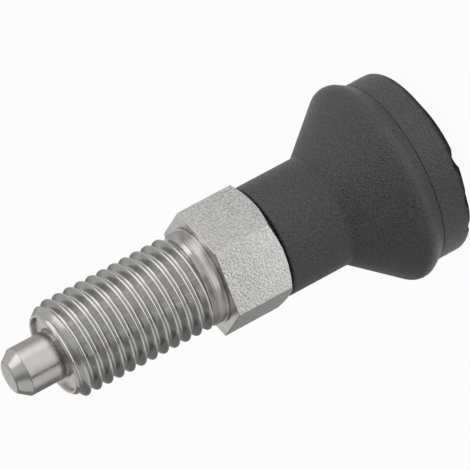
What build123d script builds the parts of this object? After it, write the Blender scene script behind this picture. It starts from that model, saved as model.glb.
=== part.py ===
from build123d import *
import math
import os

# Indexing plunger, M12 x 1.5, with a sprung 6 mm pin and a moulded mushroom grip.
# All sizes are in millimetres. +Z runs along the axis towards the tip of the pin. The origin is on
# the axis, in the plane of the hexagon's front shoulder, which seats on the plate that the plunger
# is screwed into. Every height below is a Z coordinate unless its name says otherwise.

# threaded sleeve
thread_radius = 5.95
thread_pitch = 1.5
thread_length = 20.1
front_rim_radius = 4.96
front_chamfer_length = 1.3
relief_radius = 5.6
relief_end = 1.95
thread_run_in = 0.35
shank_radius = 5.85
shank_end = 1.25
shank_slope_end = 1.5
seat_ring_radius = 6.05
seat_ring_height = 0.28
hex_across_flats = 13.9
hex_length = 7.9
hex_rear_circle_radius = 6.88
hex_chamfer_angle = 30
sleeve_rear_wall = 2.4
spring_bore_radius = 4.2
front_recess_radius = 4.64
front_recess_depth = 0.4

# front guide bush
bush_flange_thickness = 2.2
bush_length = 5.2
bush_mouth_chamfer = 0.15

# running clearances, radial and at the stop
pin_clearance = 0.035
collar_clearance = 0.05
rod_clearance = 0.04
stop_gap = 0.05

# locking pin
pin_radius = 2.985
pin_projection = 5.85
nose_length = 1.45
nose_tip_radius = 1.9
nose_rounding = 0.64
collar_length = 2.5
rod_radius = 2.5
stud_radius = 2.0
stud_end_chamfer = 0.4

# compression spring, drawn at its length with the pin out
wire_diameter = 0.7
wire_sides = 8
spring_mean_radius = 3.3
active_coils = 5.75
closed_turns = 1.0
closed_pitch = 0.72
ground_depth = 0.3

# mushroom grip
grip_gap = 0.25
neck_radius = 6.945
neck_edge_chamfer = 0.25
neck_end = -16.5
flange_corner_radius = 12.82
flange_corner = -23.66
flange_rounding = 1.92
parting_plane = -26.5
parting_radius = 11.4
parting_chamfer = 0.12
grip_wall = 2.0
web_thickness = 4.0
rod_socket_depth = 1.0
hub_radius = 3.8
hub_head_radius = 4.7
hub_head_length = 1.3
hub_end = -20.6
stud_hole_radius = 2.05
core_radius = 5.1
rib_count = 6
rib_thickness = 1.1
rib_front = -13.0
rib_rear = -20.1

# snap joint between the grip and its cap
snap_bore_radius = 10.3
snap_groove_radius = 10.5
snap_groove_length = 0.8
snap_groove_depth = 1.1

# cap
cap_skirt_radius = 10.15
cap_skirt_inner_radius = 9.1
cap_skirt_length = 2.1
cap_skirt_chamfer = 0.2
cap_bead_radius = 10.4
cap_bead_clearance = 0.05
cap_bead_lead = 0.35
cap_bead_flank = 0.25
cap_slot_count = 6
cap_slot_width = 1.6
cap_side_end_radius = 11.4
cap_side_end = -29.6
cap_side_rounding = 1.45
cap_flat_radius = 8.0
cap_end = -31.2
cap_disc_thickness = 1.9
notch_radius = 2.3
notch_depth = 0.38
notch_length = 6.5
notch_bearings = (-113.7, -138.0, -160.0)
notch_group_turns = (0, 180)

# washer and nut on the stud, size M4
washer_outer_radius = 4.5
washer_hole_radius = 2.15
washer_thickness = 0.8
nut_across_flats = 7.0
nut_height = 3.2

# heights that follow from the sizes above
sleeve_rear = -hex_length
spring_floor = sleeve_rear + sleeve_rear_wall
bush_face = thread_length - front_recess_depth
bush_shoulder = bush_face - bush_flange_thickness
bush_rear = bush_face - bush_length
pin_tip = thread_length + pin_projection
collar_front = bush_rear - stop_gap
collar_rear = collar_front - collar_length
collar_radius = spring_bore_radius - collar_clearance
grip_front = sleeve_rear - grip_gap
rod_end = grip_front - rod_socket_depth
washer_rear = hub_end - washer_thickness
nut_rear = washer_rear - nut_height
stud_end = nut_rear - 1.5 * stud_end_chamfer


def face_of(points, rounds=None):
    """A closed (radius, height) outline as a face; rounds gives fillet radii by point number."""
    radii = [0.0] * len(points)
    for corner, radius in (rounds or {}).items():
        radii[corner] = radius
    return make_face(FilletPolyline(*points, radius=radii, close=True))


def turned(points, rounds=None):
    """A body of revolution about Z from a (radius, height) outline."""
    return revolve(Plane.XZ * face_of(points, rounds), Axis.Z)


def hexagon(across_flats, bottom, top):
    """A hexagonal bar with two corners on the Y axis."""
    outline = Rot(0, 0, 30) * RegularPolygon(across_flats / 2, 6, major_radius=False)
    return extrude(Pos(0, 0, bottom) * outline, top - bottom)


def threaded_sleeve():
    """Hexagon, seat ring, relief and threaded shank in one; the thread is drawn as its outside cylinder."""
    corner_radius = hex_across_flats / math.sqrt(3)
    chamfer_height = (corner_radius - hex_rear_circle_radius) * math.tan(math.radians(hex_chamfer_angle))
    chamfered = turned([
        (0, sleeve_rear),
        (hex_rear_circle_radius, sleeve_rear),
        (corner_radius, sleeve_rear + chamfer_height),
        (corner_radius, 0),
        (0, 0),
    ])
    head = hexagon(hex_across_flats, sleeve_rear, 0) & chamfered
    shank = turned([
        (0, -0.5),
        (seat_ring_radius, -0.5),
        (seat_ring_radius, seat_ring_height),
        (shank_radius, seat_ring_height),
        (shank_radius, shank_end),
        (relief_radius, shank_slope_end),
        (relief_radius, relief_end),
        (thread_radius, relief_end + thread_run_in),
        (thread_radius, thread_length - front_chamfer_length),
        (front_rim_radius, thread_length),
        (0, thread_length),
    ])
    bore = turned([
        (0, sleeve_rear - 1),
        (rod_radius + rod_clearance, sleeve_rear - 1),
        (rod_radius + rod_clearance, spring_floor),
        (spring_bore_radius, spring_floor),
        (spring_bore_radius, bush_shoulder),
        (front_recess_radius, bush_shoulder),
        (front_recess_radius, thread_length + 1),
        (0, thread_length + 1),
    ])
    return head + shank - bore


def front_guide_bush():
    """Flanged bush that guides the pin and stops its collar."""
    bore_radius = pin_radius + pin_clearance
    return turned([
        (bore_radius, bush_rear),
        (spring_bore_radius, bush_rear),
        (spring_bore_radius, bush_shoulder),
        (front_recess_radius, bush_shoulder),
        (front_recess_radius, bush_face),
        (bore_radius + bush_mouth_chamfer, bush_face),
        (bore_radius, bush_face - bush_mouth_chamfer),
    ])


def locking_pin():
    """Pin nose, stop collar, pull rod and threaded stud, turned in one piece."""
    outline = [
        (0, stud_end),
        (stud_radius - stud_end_chamfer, stud_end),
        (stud_radius, stud_end + stud_end_chamfer),
        (stud_radius, rod_end),
        (rod_radius, rod_end),
        (rod_radius, collar_rear),
        (collar_radius, collar_rear),
        (collar_radius, collar_front),
        (pin_radius, collar_front),
        (pin_radius, pin_tip - nose_length),
        (nose_tip_radius, pin_tip),
        (0, pin_tip),
    ]
    return turned(outline, {10: nose_rounding})


def compression_spring():
    """Spring whose ends are closed and ground flat, its round wire drawn with eight sides."""
    bottom = spring_floor + wire_diameter / 2 - ground_depth
    top = collar_rear - wire_diameter / 2 + ground_depth
    closed_height = closed_turns * closed_pitch
    free_height = top - bottom - 2 * closed_height
    runs = [
        (closed_pitch, closed_height, bottom, 0),
        (free_height / active_coils, free_height, bottom + closed_height, 360 * closed_turns),
        (closed_pitch, closed_height, top - closed_height, 360 * (closed_turns + active_coils)),
    ]
    path = []
    for pitch, height, start, turn in runs:
        path += (Pos(0, 0, start) * Rot(0, 0, turn) * Helix(pitch, height, spring_mean_radius)).edges()
    wire = Wire(path)
    section = Plane(origin=wire @ 0, z_dir=wire % 0) * RegularPolygon(wire_diameter / 2, wire_sides)
    coil = sweep(section, path=wire, is_frenet=True)
    seats = Pos(0, 0, spring_floor) * Cylinder(
        spring_bore_radius, collar_rear - spring_floor, align=(Align.CENTER, Align.CENTER, Align.MIN))
    return coil & seats


def rib(angle):
    """One radial rib between the grip's hub and its wall, before it is trimmed to the cavity."""
    reach = snap_bore_radius - hub_radius + 0.4
    block = Box(reach, rib_thickness, rib_front - rib_rear, align=(Align.MIN, Align.CENTER, Align.MIN))
    return Rot(0, 0, angle) * Pos(hub_radius - 0.4, 0, rib_rear) * block


def mushroom_grip():
    """Moulded grip: an even wall round a ribbed hollow, with a hub for the pull rod."""
    outside = turned([
        (0, grip_front),
        (neck_radius - neck_edge_chamfer, grip_front),
        (neck_radius, grip_front - neck_edge_chamfer),
        (neck_radius, neck_end),
        (flange_corner_radius, flange_corner),
        (parting_radius, parting_plane + parting_chamfer),
        (parting_radius - parting_chamfer, parting_plane),
        (0, parting_plane),
    ], {4: flange_rounding})
    cone_slope = (flange_corner_radius - neck_radius) / (neck_end - flange_corner)
    cone_offset = grip_wall * math.hypot(1, cone_slope)
    cone_start = neck_end - (core_radius - neck_radius + cone_offset) / cone_slope
    cone_end = neck_end - (snap_bore_radius - neck_radius + cone_offset) / cone_slope
    cavity = turned([
        (hub_radius, grip_front - web_thickness),
        (core_radius, grip_front - web_thickness),
        (core_radius, cone_start),
        (snap_bore_radius, cone_end),
        (snap_bore_radius, parting_plane - 1),
        (0, parting_plane - 1),
        (0, hub_end),
        (hub_head_radius, hub_end),
        (hub_head_radius, hub_end + hub_head_length),
        (hub_radius, hub_end + hub_head_length + hub_head_radius - hub_radius),
    ])
    groove_top = parting_plane + snap_groove_depth + snap_groove_length
    groove_rise = snap_groove_radius - snap_bore_radius
    groove = turned([
        (snap_bore_radius - 0.5, groove_top),
        (snap_bore_radius, groove_top),
        (snap_groove_radius, groove_top - groove_rise),
        (snap_groove_radius, parting_plane + snap_groove_depth + groove_rise),
        (snap_bore_radius, parting_plane + snap_groove_depth),
        (snap_bore_radius - 0.5, parting_plane + snap_groove_depth),
    ])
    stud_hole = Pos(0, 0, hub_end - 1) * Cylinder(
        stud_hole_radius, grip_front - hub_end + 2, align=(Align.CENTER, Align.CENTER, Align.MIN))
    rod_socket = Pos(0, 0, rod_end) * Cylinder(
        rod_radius + rod_clearance, rod_socket_depth + 1, align=(Align.CENTER, Align.CENTER, Align.MIN))
    ribs = [rib(360 / rib_count * number) & cavity for number in range(rib_count)]
    return outside - cavity - groove - stud_hole - rod_socket + ribs


def grip_washer():
    ring = Cylinder(washer_outer_radius, washer_thickness) - Cylinder(washer_hole_radius, washer_thickness)
    return Pos(0, 0, hub_end - washer_thickness / 2) * ring


def grip_nut():
    """Hexagon nut with its corners chamfered on both faces."""
    corner_radius = nut_across_flats / math.sqrt(3)
    bevel = corner_radius - nut_across_flats / 2 + 0.1
    drop = bevel * math.tan(math.radians(30))
    chamfered = turned([
        (stud_radius, nut_rear),
        (corner_radius - bevel, nut_rear),
        (corner_radius, nut_rear + drop),
        (corner_radius, washer_rear - drop),
        (corner_radius - bevel, washer_rear),
        (stud_radius, washer_rear),
    ])
    return hexagon(nut_across_flats, nut_rear, washer_rear) & chamfered


def notch_cutter(bearing):
    """A round cutter that lies along the cap's rear cone, on the given bearing."""
    slope = math.degrees(math.atan2(cap_side_end - cap_end, cap_side_end_radius - cap_flat_radius))
    middle_radius = (cap_side_end_radius + cap_flat_radius) / 2
    middle_height = (cap_side_end + cap_end) / 2
    cutter = Pos(0, 0, notch_depth - notch_radius) * Rot(0, 90, 0) * Cylinder(notch_radius, notch_length)
    return Rot(0, 0, bearing) * Pos(middle_radius, 0, middle_height) * Rot(0, -slope, 0) * cutter


def grip_cap():
    """Snap-in cap: a crowned disc with a slotted, beaded skirt and two groups of shallow rim notches."""
    skirt_end = parting_plane + cap_skirt_length
    bead_top = parting_plane + snap_groove_depth + snap_groove_length - cap_bead_clearance
    bead_crest = bead_top - cap_bead_lead
    body = turned([
        (0, cap_end),
        (cap_flat_radius, cap_end),
        (cap_side_end_radius, cap_side_end),
        (parting_radius, parting_plane - parting_chamfer),
        (parting_radius - parting_chamfer, parting_plane),
        (cap_skirt_radius, parting_plane),
        (cap_skirt_radius, bead_crest - cap_bead_flank),
        (cap_bead_radius, bead_crest),
        (cap_skirt_radius, bead_top),
        (cap_skirt_radius, skirt_end - cap_skirt_chamfer),
        (cap_skirt_radius - cap_skirt_chamfer, skirt_end),
        (cap_skirt_inner_radius, skirt_end),
        (cap_skirt_inner_radius, cap_end + cap_disc_thickness),
        (0, cap_end + cap_disc_thickness),
    ], {2: cap_side_rounding})
    slot_span = 2 * (cap_bead_radius - cap_skirt_inner_radius) + cap_slot_width
    slot = Box(slot_span, cap_slot_width, cap_skirt_length, align=(Align.CENTER, Align.CENTER, Align.MIN))
    for number in range(cap_slot_count):
        bearing = 360 / cap_slot_count * (number + 0.5)
        body -= Rot(0, 0, bearing) * Pos(cap_skirt_radius, 0, parting_plane) * slot
    for turn in notch_group_turns:
        for bearing in notch_bearings:
            body -= notch_cutter(bearing + turn)
    return body


def write(name, shape):
    shape.label = name
    export_step(shape, os.path.join("parts", name + ".step"))


os.makedirs("parts", exist_ok=True)
write("threaded_sleeve", threaded_sleeve())
write("front_guide_bush", front_guide_bush())
write("locking_pin", locking_pin())
write("compression_spring", compression_spring())
write("mushroom_grip", mushroom_grip())
write("grip_washer", grip_washer())
write("grip_nut", grip_nut())
write("grip_cap", grip_cap())
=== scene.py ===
import bpy
import math
from mathutils import Matrix, Vector


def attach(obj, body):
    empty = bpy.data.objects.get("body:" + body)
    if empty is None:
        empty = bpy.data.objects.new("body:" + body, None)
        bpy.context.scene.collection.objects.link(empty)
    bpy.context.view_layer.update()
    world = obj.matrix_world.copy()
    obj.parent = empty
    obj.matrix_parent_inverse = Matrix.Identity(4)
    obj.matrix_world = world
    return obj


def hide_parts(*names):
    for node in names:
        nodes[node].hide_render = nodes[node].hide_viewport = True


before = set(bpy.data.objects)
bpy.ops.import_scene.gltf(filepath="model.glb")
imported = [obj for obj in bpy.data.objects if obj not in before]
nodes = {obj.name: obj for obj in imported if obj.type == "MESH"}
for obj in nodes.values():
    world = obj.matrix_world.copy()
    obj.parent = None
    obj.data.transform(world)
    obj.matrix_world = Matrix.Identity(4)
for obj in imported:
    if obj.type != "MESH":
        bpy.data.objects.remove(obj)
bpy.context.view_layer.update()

mm = 0.001


def linearColour(code):
    # sRGB hex to the linear values that the shaders take
    parts = [int(code[i:i + 2], 16) / 255 for i in (1, 3, 5)]
    return tuple(c / 12.92 if c <= 0.04045 else ((c + 0.055) / 1.055) ** 2.4 for c in parts) + (1.0,)


def addNode(tree, kind, settings=None, links=None):
    # settings: node properties or the values of sockets; links: socket by name or number -> output
    node = tree.nodes.new(kind)
    for name, value in (settings or {}).items():
        if isinstance(name, int) or name in node.inputs:
            node.inputs[name].default_value = value
        else:
            setattr(node, name, value)
    for name, output in (links or {}).items():
        tree.links.new(output, node.inputs[name])
    return node


def newMaterial(name):
    material = bpy.data.materials.new(name)
    material.use_nodes = True
    material.node_tree.nodes.clear()
    return material, material.node_tree


def direction(bearing, height):
    # unit vector at a bearing and a height above the floor, both in degrees
    across, rise = math.radians(bearing), math.radians(height)
    return Vector((math.cos(across) * math.cos(rise), math.sin(across) * math.cos(rise), math.sin(rise)))


def deselectAll():
    if bpy.context.object and bpy.context.object.mode != "OBJECT":
        bpy.ops.object.mode_set(mode="OBJECT")
    bpy.ops.object.select_all(action="DESELECT")


def activate(piece):
    deselectAll()
    bpy.context.view_layer.objects.active = piece
    piece.select_set(True)


def drawOutline(name, points, rounds=None, segments=6):
    # (radius, height) points in mm, and the fillet radius of each point that is rounded, by its
    # number; straight runs are extruded, and a rounded corner is spun about its fillet's centre
    rounds = rounds or {}
    deselectAll()
    bpy.ops.mesh.primitive_plane_add(size=mm, location=(0, 0, 0))
    piece = bpy.context.object
    piece.name = name
    bpy.ops.object.mode_set(mode="EDIT")
    bpy.ops.mesh.select_all(action="SELECT")
    bpy.ops.mesh.merge(type="CENTER")
    here = Vector((points[0][0], 0, points[0][1]))
    bpy.ops.transform.translate(value=here * mm)

    def lineTo(target):
        nonlocal here
        bpy.ops.mesh.extrude_vertices_move(TRANSFORM_OT_translate={"value": (target - here) * mm})
        here = target

    for number in range(1, len(points)):
        corner = Vector((points[number][0], 0, points[number][1]))
        if number not in rounds:
            lineTo(corner)
            continue
        before = (Vector((points[number - 1][0], 0, points[number - 1][1])) - corner).normalized()
        after = (Vector((points[number + 1][0], 0, points[number + 1][1])) - corner).normalized()
        inside = before.angle(after)
        reach = rounds[number] / math.tan(inside / 2)
        centre = corner + (before + after).normalized() * rounds[number] / math.sin(inside / 2)
        lineTo(corner + before * reach)
        turn = (math.pi - inside) * (1 if before.cross(after).y > 0 else -1)
        bpy.ops.mesh.spin(steps=segments, angle=turn, center=centre * mm, axis=(0, 1, 0))
        here = corner + after * reach
    return piece


def turnPiece(name, points, rounds=None, segments=6, steps=144):
    # a body of revolution about the Z axis
    piece = drawOutline(name, points, rounds, segments)
    bpy.ops.mesh.select_all(action="SELECT")
    bpy.ops.mesh.spin(steps=steps, angle=2 * math.pi, center=(0, 0, 0), axis=(0, 0, 1))
    closeUp()
    return piece


def closeUp():
    # welds seams and poles, and turns every face outwards
    bpy.ops.mesh.select_all(action="SELECT")
    bpy.ops.mesh.remove_doubles(threshold=0.0005 * mm)
    bpy.ops.mesh.normals_make_consistent(inside=False)
    bpy.ops.object.mode_set(mode="OBJECT")


def combine(piece, tool, operation):
    # applies a boolean and removes the tool
    activate(piece)
    cut = piece.modifiers.new(operation.lower(), "BOOLEAN")
    cut.operation = operation
    cut.solver = "EXACT"
    cut.object = tool
    bpy.ops.object.modifier_apply(modifier=cut.name)
    bpy.data.objects.remove(tool)
    bpy.ops.object.mode_set(mode="EDIT")
    bpy.ops.mesh.select_all(action="SELECT")
    bpy.ops.mesh.remove_doubles(threshold=0.002 * mm)
    bpy.ops.mesh.dissolve_degenerate(threshold=0.001 * mm)
    bpy.ops.object.mode_set(mode="OBJECT")


def settle(piece):
    # place and size go into the mesh
    activate(piece)
    bpy.ops.object.transform_apply(location=True, rotation=True, scale=True)
    bpy.ops.object.shade_smooth_by_angle(angle=math.radians(30))
    # the large faces keep their own normals, so that only the small ones between them look round
    weighted = piece.modifiers.new("weightedNormals", "WEIGHTED_NORMAL")
    weighted.keep_sharp = True
    weighted.weight = 100
    bpy.ops.object.modifier_apply(modifier=weighted.name)


# camera: it looks down on the standing plunger from the side, rolled so that the pin points left

camera = {
    "target": (1.790, -2.124, -5.296),
    "nudge": (-0.057, 0.057),  # of the target, across the picture
    "distance": 668.39,
    "bearing": -99.638,
    "elevation": 18.720,
    "roll": -118.194,
    "lens": 447.6,
}

towards = direction(camera["bearing"], camera["elevation"])
level = (-towards).to_track_quat("-Z", "Y").to_matrix()
aim = level @ Matrix.Rotation(math.radians(camera["roll"]), 3, "Z")
target = Vector(camera["target"]) + aim.col[0] * camera["nudge"][0] + aim.col[1] * camera["nudge"][1]
place = (target + towards * camera["distance"]) * mm
deselectAll()
bpy.ops.object.camera_add(location=place, rotation=aim.to_euler())
viewCamera = bpy.context.object
viewCamera.name = "viewCamera"
viewCamera.data.lens = camera["lens"]
viewCamera.data.sensor_width = 36
viewCamera.data.clip_start = 10 * mm
viewCamera.data.clip_end = 20
bpy.context.scene.camera = viewCamera
print("camera placed")


# sleeve: hexagon, relief and M12 x 1.5 thread in one

sleeve = {
    "acrossFlats": 13.9,
    "hexLength": 7.9,
    "rearCircle": 6.88,  # radius of the flat that the rear chamfer leaves
    "edgeBevel": 0.09,
    "pitch": 1.5,
    "threadRadius": 5.95,
    "crestWidth": 0.16,
    "crestRound": 0.06,
    "rootRadius": 5.06,
    "rootRound": 0.26,
    "crestHeight": 2.964,  # where a crest passes the +X side
    "threadPasses": 15,
    "threadStart": 2.003,
    "threadEnd": 20.6,
    "runOut": 0.35,
    "runOutFlare": 1.25,
    "seatRing": 6.05,
    "shank": 5.85,
    "relief": 5.5,
    "reliefEnd": 1.95,
    "blank": 6.25,
    "chamferFoot": 18.406,
    "front": 20.1,
    "frontRim": 4.96,
    "rodBore": 2.54,
    "springBore": 4.2,
    "springFloor": -5.5,
    "bushRecess": 4.64,
    "bushShoulder": 17.5,
    "turnSteps": 144,
}


def cutThread():
    # one pitch of the thread, from root to root, is drawn, then screwed round and up
    pitch, halfCrest = sleeve["pitch"], sleeve["crestWidth"] / 2
    crest, root = sleeve["threadRadius"], sleeve["rootRadius"]
    flankRun = (crest - root) * math.tan(math.radians(30))
    start = sleeve["crestHeight"] - 2 * pitch - pitch / 2
    middle = start + pitch / 2
    rod = drawOutline("threadRod", [
        (root, start),
        (root, middle - halfCrest - flankRun),
        (crest, middle - halfCrest),
        (crest, middle + halfCrest),
        (root, middle + halfCrest + flankRun),
        (root, start + pitch),
    ], {1: sleeve["rootRound"], 2: sleeve["crestRound"], 3: sleeve["crestRound"],
        4: sleeve["rootRound"]}, segments=4)
    bpy.ops.object.mode_set(mode="OBJECT")
    screw = rod.modifiers.new("screw", "SCREW")
    screw.axis = "Z"
    screw.screw_offset = pitch * mm
    screw.iterations = sleeve["threadPasses"]
    screw.steps = screw.render_steps = sleeve["turnSteps"]
    screw.use_merge_vertices = True
    screw.merge_threshold = 0.0005 * mm
    bpy.ops.object.modifier_apply(modifier=screw.name)
    bpy.ops.object.mode_set(mode="EDIT")
    bpy.ops.mesh.select_all(action="SELECT")
    bpy.ops.mesh.remove_doubles(threshold=0.0005 * mm)
    bpy.ops.mesh.bisect(
        plane_co=(0, 0, sleeve["threadEnd"] * mm), plane_no=(0, 0, 1), threshold=0.0001 * mm,
        use_fill=True, clear_outer=True)
    bpy.ops.mesh.select_all(action="SELECT")
    bpy.ops.mesh.bisect(
        plane_co=(0, 0, sleeve["threadStart"] * mm), plane_no=(0, 0, 1), threshold=0.0001 * mm,
        use_fill=True, clear_inner=True)
    # below the thread the rod widens, so that the groove runs out and the rod clears the relief
    flare, tail = sleeve["runOutFlare"], 3
    bpy.ops.mesh.extrude_region_move(TRANSFORM_OT_translate={"value": (0, 0, -sleeve["runOut"] * mm)})
    bpy.ops.transform.resize(value=(flare, flare, 1), center_override=(0, 0, 0))
    bpy.ops.mesh.extrude_region_move(TRANSFORM_OT_translate={"value": (0, 0, -tail * mm)})
    closeUp()
    return rod


def buildSleeve():
    steps = sleeve["turnSteps"]
    # from the hexagon on: the low seat ring, a land with a scored line, the relief, and a blank that
    # stands clear of the crests, so that it trims the thread only where it slopes at either end
    ring, land, relief = sleeve["seatRing"], sleeve["shank"], sleeve["relief"]
    blank, reliefEnd = sleeve["blank"], sleeve["reliefEnd"]
    shank = turnPiece("shank", [
        (0, -0.6), (ring - 0.1, -0.6), (ring - 0.1, 0.05), (ring, 0.1), (ring, 0.28), (land, 0.32),
        (land, 1.08), (land - 0.06, 1.13), (land + 0.02, 1.18), (land + 0.02, 1.28),
        (relief + 0.2, 1.36), (relief, reliefEnd), (blank, reliefEnd + 0.55),
        (blank, sleeve["chamferFoot"]), (sleeve["frontRim"], sleeve["front"]), (0, sleeve["front"]),
    ], {4: 0.07, 9: 0.03, 11: 0.1}, segments=3, steps=steps)
    combine(shank, cutThread(), "INTERSECT")

    cornerRadius = sleeve["acrossFlats"] / math.sqrt(3)
    deselectAll()
    bpy.ops.mesh.primitive_cylinder_add(
        vertices=6, radius=cornerRadius * mm, depth=sleeve["hexLength"] * mm,
        location=(0, 0, -sleeve["hexLength"] / 2 * mm))
    head = bpy.context.object
    bpy.ops.object.mode_set(mode="EDIT")
    bpy.ops.mesh.select_all(action="DESELECT")
    bpy.ops.object.mode_set(mode="OBJECT")
    for edge in head.data.edges:
        ends = [head.data.vertices[v].co.z for v in edge.vertices]
        edge.select = max(ends) > 0  # the six upright edges and the front ones
    bpy.ops.object.mode_set(mode="EDIT")
    bpy.ops.mesh.select_mode(type="EDGE")
    bpy.ops.mesh.bevel(offset=sleeve["edgeBevel"] * mm, segments=3)
    bpy.ops.mesh.select_mode(type="VERT")
    bpy.ops.object.mode_set(mode="OBJECT")
    # the rear chamfer is a cone at 30 degrees, which starts and ends clear of the hexagon
    rear, clear, slope = -sleeve["hexLength"], 0.5, math.tan(math.radians(30))
    drop = (cornerRadius - sleeve["rearCircle"]) * slope
    limit = turnPiece("limit", [
        (0, rear - clear), (sleeve["rearCircle"] - clear / slope, rear - clear),
        (cornerRadius + clear, rear + drop + clear * slope), (cornerRadius + clear, 1), (0, 1),
    ], steps=steps)
    combine(head, limit, "INTERSECT")
    combine(head, shank, "UNION")

    # both mouths of the bore are chamfered at 45 degrees
    rod, spring, recess = sleeve["rodBore"], sleeve["springBore"], sleeve["bushRecess"]
    seat, shoulder = sleeve["springFloor"], sleeve["bushShoulder"]
    bore = turnPiece("bore", [
        (0, rear - 1), (rod + 1.1, rear - 1), (rod, rear + 0.1), (rod, seat), (spring, seat),
        (spring, shoulder), (recess, shoulder), (recess, 20.02), (recess + 0.98, 21), (0, 21),
    ], steps=steps)
    combine(head, bore, "DIFFERENCE")
    head.name = "sleeve"
    settle(head)
    return head


sleevePiece = buildSleeve()
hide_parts("threaded_sleeve")
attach(sleevePiece, "sleeve_body")
print("sleeve built", len(sleevePiece.data.polygons), "faces")


# guide bush in the sleeve's mouth

bush = {
    "bore": 3.02,
    "radius": 4.2,
    "flange": 4.64,
    "rear": 14.5,
    "shoulder": 17.5,
    "face": 19.7,
    "rimChamfer": 0.08,
    "boreChamfer": 0.15,
}

bushPiece = turnPiece("guideBush", [
    (bush["bore"], bush["rear"]), (bush["radius"], bush["rear"]), (bush["radius"], bush["shoulder"]),
    (bush["flange"], bush["shoulder"]), (bush["flange"], bush["face"] - bush["rimChamfer"]),
    (bush["flange"] - bush["rimChamfer"], bush["face"]),
    (bush["bore"] + bush["boreChamfer"], bush["face"]),
    (bush["bore"], bush["face"] - bush["boreChamfer"]), (bush["bore"], bush["rear"]),
], {5: 0.05, 6: 0.05}, segments=3)
settle(bushPiece)
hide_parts("front_guide_bush")
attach(bushPiece, "sleeve_body")
print("guide bush built")


# locking pin: nose, collar, pull rod and stud

pin = {
    "radius": 2.985,
    "tip": 25.95,
    "noseLength": 1.45,
    "noseRadius": 1.9,
    "noseRound": 0.64,
    "collar": 4.15,
    "collarFront": 14.45,
    "collarRear": 11.95,
    "rod": 2.5,
    "rodEnd": -9.15,
    "stud": 2.0,
    "studEnd": -25.2,
    "studChamfer": 0.4,
}

pinPiece = turnPiece("lockingPin", [
    (0, pin["studEnd"]), (pin["stud"] - pin["studChamfer"], pin["studEnd"]),
    (pin["stud"], pin["studEnd"] + pin["studChamfer"]), (pin["stud"], pin["rodEnd"]),
    (pin["rod"], pin["rodEnd"]), (pin["rod"], pin["collarRear"]), (pin["collar"], pin["collarRear"]),
    (pin["collar"], pin["collarFront"]), (pin["radius"], pin["collarFront"]),
    (pin["radius"], pin["tip"] - pin["noseLength"]), (pin["noseRadius"], pin["tip"]), (0, pin["tip"]),
], {6: 0.1, 7: 0.1, 9: 0.3, 10: pin["noseRound"]}, segments=8)
settle(pinPiece)
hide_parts("locking_pin")
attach(pinPiece, "pull_body")
print("locking pin built")


# mushroom grip: a moulded shell round a hub; the cap closes its hollow

grip = {
    "front": -8.15,
    "neck": 6.945,
    "neckEdge": 0.3,
    "neckEnd": -16.5,
    "flange": 12.78,
    "flangeHeight": -23.61,
    "flangeRound": 1.6,
    "seam": 11.4,
    "seamHeight": -25.9,
    "seamEdge": 0.15,
    "snapBore": 10.3,
    "snapBoreEnd": -23.74,
    "core": 5.1,
    "coreMouth": -17.4,
    "webEnd": -12.15,
    "hub": 3.8,
    "hubHead": 4.7,
    "hubHeadStart": -18.4,
    "hubHeadFull": -19.3,
    "hubEnd": -20.6,
    "studHole": 2.05,
    "socket": 2.54,
    "socketEnd": -9.15,
}

gripPiece = turnPiece("mushroomGrip", [
    (grip["socket"], grip["socketEnd"]), (grip["socket"], grip["front"]),
    (grip["neck"], grip["front"]), (grip["neck"], grip["neckEnd"]),
    (grip["flange"], grip["flangeHeight"]), (grip["seam"], grip["seamHeight"]),
    (grip["snapBore"], grip["seamHeight"]), (grip["snapBore"], grip["snapBoreEnd"]),
    (grip["core"], grip["coreMouth"]), (grip["core"], grip["webEnd"]),
    (grip["hub"], grip["webEnd"]), (grip["hub"], grip["hubHeadStart"]),
    (grip["hubHead"], grip["hubHeadFull"]), (grip["hubHead"], grip["hubEnd"]),
    (grip["studHole"], grip["hubEnd"]), (grip["studHole"], grip["socketEnd"]),
    (grip["socket"], grip["socketEnd"]),
], {2: grip["neckEdge"], 4: grip["flangeRound"], 5: grip["seamEdge"]}, segments=8, steps=192)
settle(gripPiece)
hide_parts("mushroom_grip")
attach(gripPiece, "pull_body")
print("grip built")


# cap: crowned disc with rim notches, and a skirt with a bead that snaps into the grip

cap = {
    "side": 11.4,
    "sideEnd": -29.6,
    "sideRound": 1.15,
    "flat": 8.0,
    "flatRound": 0.5,
    "end": -31.2,
    "inside": -29.3,
    "skirt": 10.15,
    "skirtInside": 9.1,
    "skirtEnd": -24.4,
    "skirtEdge": 0.2,
    "bead": 10.4,
    "beadHeight": -24.95,
    "beadReach": 0.35,
    "notchRadius": 2.3,
    "notchDepth": 0.38,
    "notchLength": 6.5,
    "notchBearings": (-113.7, -138.0, -160.0, 66.3, 42.0, 20.0),
}


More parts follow.
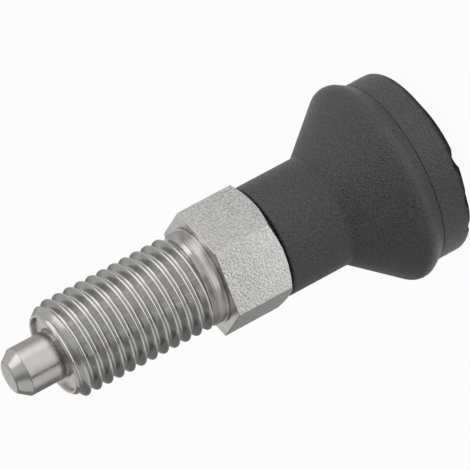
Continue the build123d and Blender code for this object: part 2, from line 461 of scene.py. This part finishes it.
def buildCap():
    disc = turnPiece("gripCap", [
        (0, cap["end"]), (cap["flat"], cap["end"]), (cap["side"], cap["sideEnd"]),
        (grip["seam"], grip["seamHeight"]), (cap["skirt"], grip["seamHeight"]),
        (cap["skirt"], cap["beadHeight"] - cap["beadReach"]), (cap["bead"], cap["beadHeight"]),
        (cap["skirt"], cap["beadHeight"] + cap["beadReach"]),
        (cap["skirt"] - cap["skirtEdge"], cap["skirtEnd"]), (cap["skirtInside"], cap["skirtEnd"]),
        (cap["skirtInside"], cap["inside"]), (0, cap["inside"]),
    ], {1: cap["flatRound"], 2: cap["sideRound"], 3: grip["seamEdge"]}, segments=8, steps=192)
    # the notches are cut by cylinders that lie across the crown's slope
    slope = math.atan2(cap["sideEnd"] - cap["end"], cap["side"] - cap["flat"])
    lift = cap["notchRadius"] - cap["notchDepth"]
    below = Vector((math.sin(slope), 0, -math.cos(slope)))
    middle = Vector(((cap["side"] + cap["flat"]) / 2, 0, (cap["sideEnd"] + cap["end"]) / 2))
    middle += below * lift
    for turn in cap["notchBearings"]:
        swing = Matrix.Rotation(math.radians(turn), 3, "Z")
        lean = swing @ Matrix.Rotation(math.pi / 2 - slope, 3, "Y")
        deselectAll()
        bpy.ops.mesh.primitive_cylinder_add(
            vertices=64, radius=cap["notchRadius"] * mm, depth=cap["notchLength"] * mm,
            location=swing @ middle * mm, rotation=lean.to_euler())
        cutter = bpy.context.object
        combine(disc, cutter, "DIFFERENCE")
    settle(disc)
    return disc


capPiece = buildCap()
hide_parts("grip_cap")
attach(capPiece, "pull_body")
print("cap built", len(capPiece.data.polygons), "faces")


# materials

def ringCoordinates(tree):
    # radius, height and a little of the bearing: a pattern on these runs round the axis, as a
    # lathe tool or a grinding wheel leaves it
    spot = addNode(tree, "ShaderNodeTexCoord").outputs["Object"]
    flat = addNode(tree, "ShaderNodeVectorMath", {"operation": "MULTIPLY", 1: (1, 1, 0)}, {0: spot})
    radius = addNode(tree, "ShaderNodeVectorMath", {"operation": "LENGTH"}, {0: flat.outputs[0]})
    parts = addNode(tree, "ShaderNodeSeparateXYZ", None, {0: spot})
    drift = addNode(tree, "ShaderNodeMath", {"operation": "MULTIPLY", 1: 0.04}, {0: parts.outputs["X"]})
    rings = addNode(tree, "ShaderNodeCombineXYZ", None, {
        "X": radius.outputs["Value"], "Y": parts.outputs["Z"], "Z": drift.outputs[0]})
    return spot, flat.outputs[0], rings.outputs[0]


def aroundTangent(tree, spot):
    # the direction round the axis, for metal that is turned or rolled that way
    cross = addNode(tree, "ShaderNodeVectorMath", {
        "operation": "CROSS_PRODUCT", 1: (0, 0, 1)}, {0: spot})
    return addNode(tree, "ShaderNodeVectorTransform", {
        "vector_type": "VECTOR", "convert_from": "OBJECT", "convert_to": "WORLD"},
        {0: cross.outputs[0]}).outputs[0]


# stainless steel 1.4305, turned: feed marks run round it, catch the light as fine rings and spread
# it along the axis. Real marks are 0.1 mm apart. They are drawn 0.25 mm apart, so that they show
turnedSteel, tree = newMaterial("turnedStainlessSteel")
spot, flat, rings = ringCoordinates(tree)
marks = addNode(tree, "ShaderNodeTexNoise", {"Scale": 1 / (0.25 * mm), "Detail": 2.0}, {"Vector": rings})
stain = addNode(tree, "ShaderNodeTexNoise", {"Scale": 1 / (1.6 * mm), "Detail": 3.0}, {"Vector": spot})
share = addNode(tree, "ShaderNodeMapRange", {"From Min": 0.3, "From Max": 0.7}, {
    "Value": stain.outputs["Fac"]})
colour = addNode(tree, "ShaderNodeMix", {
    "data_type": "RGBA", 6: linearColour("#DFDDDA"), 7: linearColour("#CBC8C4")}, {0: share.outputs[0]})
rough = addNode(tree, "ShaderNodeMapRange", {
    "From Min": 0.3, "From Max": 0.7, "To Min": 0.16, "To Max": 0.3}, {"Value": marks.outputs["Fac"]})
bump = addNode(tree, "ShaderNodeBump", {"Distance": 0.012 * mm}, {"Height": marks.outputs["Fac"]})
surface = addNode(tree, "ShaderNodeBsdfPrincipled", {
    "Metallic": 1.0, "Anisotropic": 0.8, "Anisotropic Rotation": 0.25}, {
    "Base Color": colour.outputs[2], "Roughness": rough.outputs[0], "Normal": bump.outputs[0],
    "Tangent": aroundTangent(tree, spot)})
addNode(tree, "ShaderNodeOutputMaterial", None, {"Surface": surface.outputs[0]})

# the same steel, thread-rolled: lighter on the crests and in the roots, partly burnished there and
# partly a painted highlight along the thin bright lines, and greyer on the flanks, with short scuffs
# across them from the die. Real scuffs are 0.05 mm apart. They are drawn 0.16 mm apart, so that they
# show
rolled = {
    "scuffRadius": 5.6,
    "flankMiddle": 5.51,  # radius half way up the flanks
    "flankReach": 0.4,  # from there to where the lighter colour, part burnish and part painted highlight, starts
    "burnishAndHighlightEdge": 0.04,
}
rolledSteel, tree = newMaterial("rolledStainlessThread")
spot, flat, rings = ringCoordinates(tree)
unit = addNode(tree, "ShaderNodeVectorMath", {"operation": "NORMALIZE"}, {0: flat})
ring = addNode(tree, "ShaderNodeVectorMath", {
    "operation": "SCALE", "Scale": rolled["scuffRadius"] * mm}, {0: unit.outputs[0]})
climb = addNode(tree, "ShaderNodeVectorMath", {
    "operation": "MULTIPLY_ADD", 1: (0, 0, 0.2)}, {0: spot, 2: ring.outputs[0]})
scuffs = addNode(tree, "ShaderNodeTexNoise", {
    "Scale": 1 / (0.16 * mm), "Detail": 2.0}, {"Vector": climb.outputs[0]})
stain = addNode(tree, "ShaderNodeTexNoise", {"Scale": 1 / (1.2 * mm), "Detail": 3.0}, {"Vector": spot})
both = addNode(tree, "ShaderNodeMath", {"operation": "MULTIPLY_ADD", 1: 0.6}, {
    0: stain.outputs["Fac"], 2: scuffs.outputs["Fac"]})
share = addNode(tree, "ShaderNodeMapRange", {"From Min": 0.5, "From Max": 1.1}, {
    "Value": both.outputs[0]})
flank = addNode(tree, "ShaderNodeMix", {
    "data_type": "RGBA", 6: linearColour("#CBCAC8"), 7: linearColour("#AFADAA")}, {0: share.outputs[0]})
radius = addNode(tree, "ShaderNodeVectorMath", {"operation": "LENGTH"}, {0: flat})
fromMiddle = addNode(tree, "ShaderNodeMath", {"operation": "SUBTRACT", 1: rolled["flankMiddle"] * mm}, {
    0: radius.outputs["Value"]})
fromMiddle = addNode(tree, "ShaderNodeMath", {"operation": "ABSOLUTE"}, {0: fromMiddle.outputs[0]})
# the crests and roots get a lighter colour: partly burnish, partly painted highlight
burnishAndHighlight = addNode(tree, "ShaderNodeMapRange", {
    "From Min": rolled["flankReach"] * mm,
    "From Max": (rolled["flankReach"] + rolled["burnishAndHighlightEdge"]) * mm}, {"Value": fromMiddle.outputs[0]})
colour = addNode(tree, "ShaderNodeMix", {"data_type": "RGBA", 7: linearColour("#F2F1EF")}, {
    0: burnishAndHighlight.outputs[0], 6: flank.outputs[2]})
rough = addNode(tree, "ShaderNodeMapRange", {
    "From Min": 0.3, "From Max": 0.7, "To Min": 0.1, "To Max": 0.2}, {"Value": scuffs.outputs["Fac"]})
bump = addNode(tree, "ShaderNodeBump", {"Distance": 0.006 * mm}, {"Height": scuffs.outputs["Fac"]})
surface = addNode(tree, "ShaderNodeBsdfPrincipled", {"Metallic": 1.0}, {
    "Base Color": colour.outputs[2], "Roughness": rough.outputs[0], "Normal": bump.outputs[0]})
addNode(tree, "ShaderNodeOutputMaterial", None, {"Surface": surface.outputs[0]})

# the same steel as cold-drawn hexagon bar: flats with a fine, even grain and a satin look. The real
# grain is 0.05 mm coarse. It is drawn 0.22 mm coarse, so that it shows
drawnSteel, tree = newMaterial("drawnStainlessBar")
spot = addNode(tree, "ShaderNodeTexCoord").outputs["Object"]
grain = addNode(tree, "ShaderNodeTexNoise", {"Scale": 1 / (0.22 * mm), "Detail": 2.0}, {"Vector": spot})
cloud = addNode(tree, "ShaderNodeTexNoise", {"Scale": 1 / (1.5 * mm), "Detail": 2.0}, {"Vector": spot})
mixed = addNode(tree, "ShaderNodeMath", {"operation": "MULTIPLY_ADD", 1: 0.12}, {
    0: cloud.outputs["Fac"], 2: grain.outputs["Fac"]})
share = addNode(tree, "ShaderNodeMapRange", {"From Min": 0.42, "From Max": 0.7}, {
    "Value": mixed.outputs[0]})
colour = addNode(tree, "ShaderNodeMix", {
    "data_type": "RGBA", 6: linearColour("#C1C0BE"), 7: linearColour("#EBEAE8")}, {0: share.outputs[0]})
rough = addNode(tree, "ShaderNodeMapRange", {
    "From Min": 0.3, "From Max": 0.7, "To Min": 0.27, "To Max": 0.38}, {"Value": grain.outputs["Fac"]})
bump = addNode(tree, "ShaderNodeBump", {"Distance": 0.05 * mm}, {"Height": grain.outputs["Fac"]})
surface = addNode(tree, "ShaderNodeBsdfPrincipled", {"Metallic": 1.0}, {
    "Base Color": colour.outputs[2], "Roughness": rough.outputs[0], "Normal": bump.outputs[0]})
addNode(tree, "ShaderNodeOutputMaterial", None, {"Surface": surface.outputs[0]})

# hardened stainless steel, centreless ground: bright, with a satin bloom from rings as fine as
# hairs. Real rings are 0.02 mm apart. They are drawn 0.2 mm apart, so that they show
groundSteel, tree = newMaterial("groundStainlessSteel")
spot, flat, rings = ringCoordinates(tree)
marks = addNode(tree, "ShaderNodeTexNoise", {"Scale": 1 / (0.2 * mm), "Detail": 2.0}, {"Vector": rings})
cloud = addNode(tree, "ShaderNodeTexNoise", {"Scale": 1 / (1.2 * mm), "Detail": 3.0}, {"Vector": spot})
share = addNode(tree, "ShaderNodeMapRange", {"From Min": 0.3, "From Max": 0.7}, {
    "Value": cloud.outputs["Fac"]})
colour = addNode(tree, "ShaderNodeMix", {
    "data_type": "RGBA", 6: linearColour("#D0CECB"), 7: linearColour("#D9D7D4")}, {0: share.outputs[0]})
rough = addNode(tree, "ShaderNodeMapRange", {
    "From Min": 0.3, "From Max": 0.7, "To Min": 0.17, "To Max": 0.3}, {"Value": marks.outputs["Fac"]})
bump = addNode(tree, "ShaderNodeBump", {"Distance": 0.006 * mm}, {"Height": marks.outputs["Fac"]})
surface = addNode(tree, "ShaderNodeBsdfPrincipled", {"Metallic": 1.0}, {
    "Base Color": colour.outputs[2], "Roughness": rough.outputs[0], "Normal": bump.outputs[0]})
addNode(tree, "ShaderNodeOutputMaterial", None, {"Surface": surface.outputs[0]})

# glass-filled black polyamide from a spark-eroded mould: charcoal rather than black, with a fine
# grain that breaks its sheen. The real grain is 0.05 mm coarse. It is drawn 0.16 mm coarse, so
# that it shows
polyamide, tree = newMaterial("grainedBlackPolyamide")
spot = addNode(tree, "ShaderNodeTexCoord").outputs["Object"]
grain = addNode(tree, "ShaderNodeTexNoise", {
    "Scale": 1 / (0.16 * mm), "Detail": 1.0, "Roughness": 0.6}, {"Vector": spot})
cloud = addNode(tree, "ShaderNodeTexNoise", {"Scale": 1 / (4 * mm), "Detail": 2.0}, {"Vector": spot})
share = addNode(tree, "ShaderNodeMapRange", {"From Min": 0.35, "From Max": 0.65}, {
    "Value": grain.outputs["Fac"]})
colour = addNode(tree, "ShaderNodeMix", {
    "data_type": "RGBA", 6: linearColour("#28292B"), 7: linearColour("#58595C")}, {0: share.outputs[0]})
rough = addNode(tree, "ShaderNodeMapRange", {
    "From Min": 0.3, "From Max": 0.7, "To Min": 0.26, "To Max": 0.34}, {"Value": cloud.outputs["Fac"]})
bump = addNode(tree, "ShaderNodeBump", {"Distance": 0.15 * mm}, {"Height": grain.outputs["Fac"]})
surface = addNode(tree, "ShaderNodeBsdfPrincipled", {"IOR": 1.56, "Specular IOR Level": 0.7}, {
    "Base Color": colour.outputs[2], "Roughness": rough.outputs[0], "Normal": bump.outputs[0]})
addNode(tree, "ShaderNodeOutputMaterial", None, {"Surface": surface.outputs[0]})

for piece, material in (
        (sleevePiece, turnedSteel), (bushPiece, turnedSteel), (pinPiece, groundSteel),
        (gripPiece, polyamide), (capPiece, polyamide)):
    piece.data.materials.clear()
    piece.data.materials.append(material)
# the hexagon's flats are drawn bar, the thread is rolled, and its front chamfer is turned
sleevePiece.data.materials.append(drawnSteel)
sleevePiece.data.materials.append(rolledSteel)
chamferRun = (sleeve["blank"] - sleeve["frontRim"]) / (sleeve["front"] - sleeve["chamferFoot"])
for face in sleevePiece.data.polygons:
    away, height = math.hypot(face.center.x, face.center.y) / mm, face.center.z / mm
    chamferRadius = sleeve["blank"] - (height - sleeve["chamferFoot"]) * chamferRun
    if away > 6.4 and height < -0.02 and abs(face.normal.z) < 0.2:
        face.material_index = 1
    elif away > 5 and height > sleeve["reliefEnd"] + 0.3 and away < chamferRadius - 0.03:
        face.material_index = 2
# the hidden pieces
for name in ("compression_spring", "grip_washer", "grip_nut"):
    nodes[name].data.materials.clear()
    nodes[name].data.materials.append(groundSteel)
print("materials assigned")


# floor, world and lamps

studio = {
    "floorHeight": -31.3,
    "floorSize": 6000,
    "paperShare": 0.05,  # how much of the lit paper, and so of the shadow, shows round the object
    "brightBearing": -20,
    "brightHeight": 20,
    "brightSide": 0.55,
    "dimSide": 0.21,
}

# painted reflections: what a glossy surface sees in the paper is a painted glow by bearing, not
# lamplight: a painted shadow under the cap, then rings at its foot, close in, half way and far out,
# where a dark gap is painted. Distances are from the axis, in mm
paintedReflectionRings = {
    # painted shadow under the cap, as the reflections see it
    "under": {"until": 11.3, "levels": ((-180, 0.04), (180, 0.04))},
    "foot": {"from": 12.6, "until": 30, "levels": (
        (-180, 0.73), (-157, 0.69), (-128, 0.79), (-113, 1.02), (-99, 1.23), (-85, 1.16), (-68, 0.99),
        (-50, 0.83), (-20, 0.67), (0, 0.6), (40, 0.52), (120, 0.49), (180, 0.73))},
    "close": {"from": 40, "until": 92, "levels": (
        (-180, 0.55), (-157, 0.9), (-142, 1.36), (-128, 1.22), (-113, 0.97), (-99, 1.02), (-68, 1.13),
        (-50, 1.11), (-35, 0.78), (-20, 0.46), (0, 0.45), (40, 0.6), (120, 0.3), (180, 0.55))},
    "middle": {"from": 104, "until": 125, "levels": (
        (-180, 0.34), (-157, 0.41), (-142, 0.47), (-128, 0.64), (-113, 0.85), (-99, 0.96), (-68, 1.17),
        (-50, 1.49), (-35, 1.36), (-20, 0.74), (0, 0.24), (40, 0.43), (120, 0.26), (180, 0.34))},
    "far": {"from": 148, "levels": (
        (-180, 0.72), (-172, 0.7), (-154, 0.61), (-149, 0.06), (-142, 0.06), (-137, 0.6),
        (-113, 0.82), (-92, 0.9), (-65, 0.82), (-50, 1.02), (-35, 1.13), (-20, 0.9), (0, 0.47),
        (56, 0.4), (115, 0.15), (146, 0.2), (167, 0.6), (180, 0.72))},
}


# painted reflections: the paper's glow to glossy rays, set by bearing and by distance from the axis
def paintedReflectionLevels(tree, spot):
    turn = addNode(tree, "ShaderNodeTexGradient", {"gradient_type": "RADIAL"}, {"Vector": spot})
    away = addNode(tree, "ShaderNodeVectorMath", {"operation": "LENGTH"}, {0: spot})
    seen, inner = None, None
    for ring in paintedReflectionRings.values():
        ramp = addNode(tree, "ShaderNodeValToRGB", None, {"Fac": turn.outputs["Fac"]})
        stops = ramp.color_ramp.elements
        for number, (bearingStop, level) in enumerate(ring["levels"]):
            place = (bearingStop + 180) / 360
            stop = stops[number] if number < 2 else stops.new(place)
            stop.position = place
            stop.color = (level, level, level, 1)
        if seen is None:
            seen = ramp.outputs["Color"]
        else:
            blend = addNode(tree, "ShaderNodeMapRange", {
                "interpolation_type": "SMOOTHSTEP", "From Min": inner * mm,
                "From Max": ring["from"] * mm}, {"Value": away.outputs["Value"]})
            seen = addNode(tree, "ShaderNodeMix", {"data_type": "RGBA"}, {
                0: blend.outputs[0], 6: seen, 7: ramp.outputs["Color"]}).outputs[2]
        inner = ring.get("until")
    return seen


deselectAll()
bpy.ops.mesh.primitive_plane_add(
    size=studio["floorSize"] * mm, location=(0, 0, studio["floorHeight"] * mm))
floor = bpy.context.object
floor.name = "studioFloor"
# white paper: flat white to the camera, and rings of painted reflection levels to what shines
floorMaterial, tree = newMaterial("whitePaperWithPaintedReflections")
rays = addNode(tree, "ShaderNodeLightPath")
spot = addNode(tree, "ShaderNodeTexCoord").outputs["Object"]
# glossy rays get the painted reflection levels, all other rays a strength of 1
around = addNode(tree, "ShaderNodeMix", {"data_type": "FLOAT", 2: 1.0}, {
    0: rays.outputs["Is Glossy Ray"], 3: paintedReflectionLevels(tree, spot)})
seen = addNode(tree, "ShaderNodeMath", {"operation": "MAXIMUM"}, {
    0: rays.outputs["Is Camera Ray"], 1: rays.outputs["Is Glossy Ray"]})
seen = addNode(tree, "ShaderNodeMath", {"operation": "MAXIMUM"}, {
    0: seen.outputs[0], 1: rays.outputs["Is Transmission Ray"]})
share = addNode(tree, "ShaderNodeMath", {"operation": "MULTIPLY", 1: 1 - studio["paperShare"]}, {
    0: seen.outputs[0]})
paper = addNode(tree, "ShaderNodeBsdfDiffuse", {"Color": linearColour("#F4F4F4")})
glow = addNode(tree, "ShaderNodeEmission", {"Color": (1, 1, 1, 1)}, {"Strength": around.outputs[0]})
mix = addNode(tree, "ShaderNodeMixShader", None, {
    0: share.outputs[0], 1: paper.outputs[0], 2: glow.outputs[0]})
addNode(tree, "ShaderNodeOutputMaterial", None, {"Surface": mix.outputs[0]})
floor.data.materials.append(floorMaterial)

world = bpy.data.worlds.new("studioWorld")
bpy.context.scene.world = world
world.use_nodes = True
tree = world.node_tree
tree.nodes.clear()
rays = addNode(tree, "ShaderNodeLightPath")
# a light tent: one bright side, and a dim one opposite
spot = addNode(tree, "ShaderNodeTexCoord").outputs["Generated"]
bright = direction(studio["brightBearing"], studio["brightHeight"])
facing = addNode(tree, "ShaderNodeVectorMath", {"operation": "DOT_PRODUCT", 1: bright}, {0: spot})
tent = addNode(tree, "ShaderNodeMapRange", {
    "interpolation_type": "SMOOTHSTEP", "From Min": 0.02, "From Max": 0.45,
    "To Min": studio["dimSide"], "To Max": studio["brightSide"]}, {"Value": facing.outputs["Value"]})
strength = addNode(tree, "ShaderNodeMix", {"data_type": "FLOAT", 3: 1.0}, {
    0: rays.outputs["Is Camera Ray"], 2: tent.outputs[0]})
sky = addNode(tree, "ShaderNodeBackground", {"Color": (1, 1, 1, 1)}, {"Strength": strength.outputs[0]})
addNode(tree, "ShaderNodeOutputWorld", None, {"Surface": sky.outputs[0]})

# soft boxes: bearing and height in degrees, distance and sides in mm, and how bright their face is
lamps = {
    "keyBox": {"bearing": -25, "height": 32, "distance": 550, "sides": (340, 480), "glare": 0.76},
    "sideBox": {"bearing": 158, "height": 40, "distance": 600, "sides": (600, 480), "glare": 0.36},
    "backBox": {"bearing": 80, "height": 19, "distance": 600, "sides": (300, 260), "glare": 0.42},
}
for name, lamp in lamps.items():
    spot = direction(lamp["bearing"], lamp["height"])
    deselectAll()
    bpy.ops.object.light_add(
        type="AREA", location=spot * lamp["distance"] * mm,
        rotation=(-spot).to_track_quat("-Z", "Y").to_euler())
    light = bpy.context.object
    light.name = name
    light.visible_camera = False
    light.data.shape = "RECTANGLE"
    light.data.size, light.data.size_y = lamp["sides"][0] * mm, lamp["sides"][1] * mm
    light.data.energy = lamp["glare"] * math.pi * light.data.size * light.data.size_y
print("studio lit")

bpy.context.scene.view_settings.view_transform = "Standard"
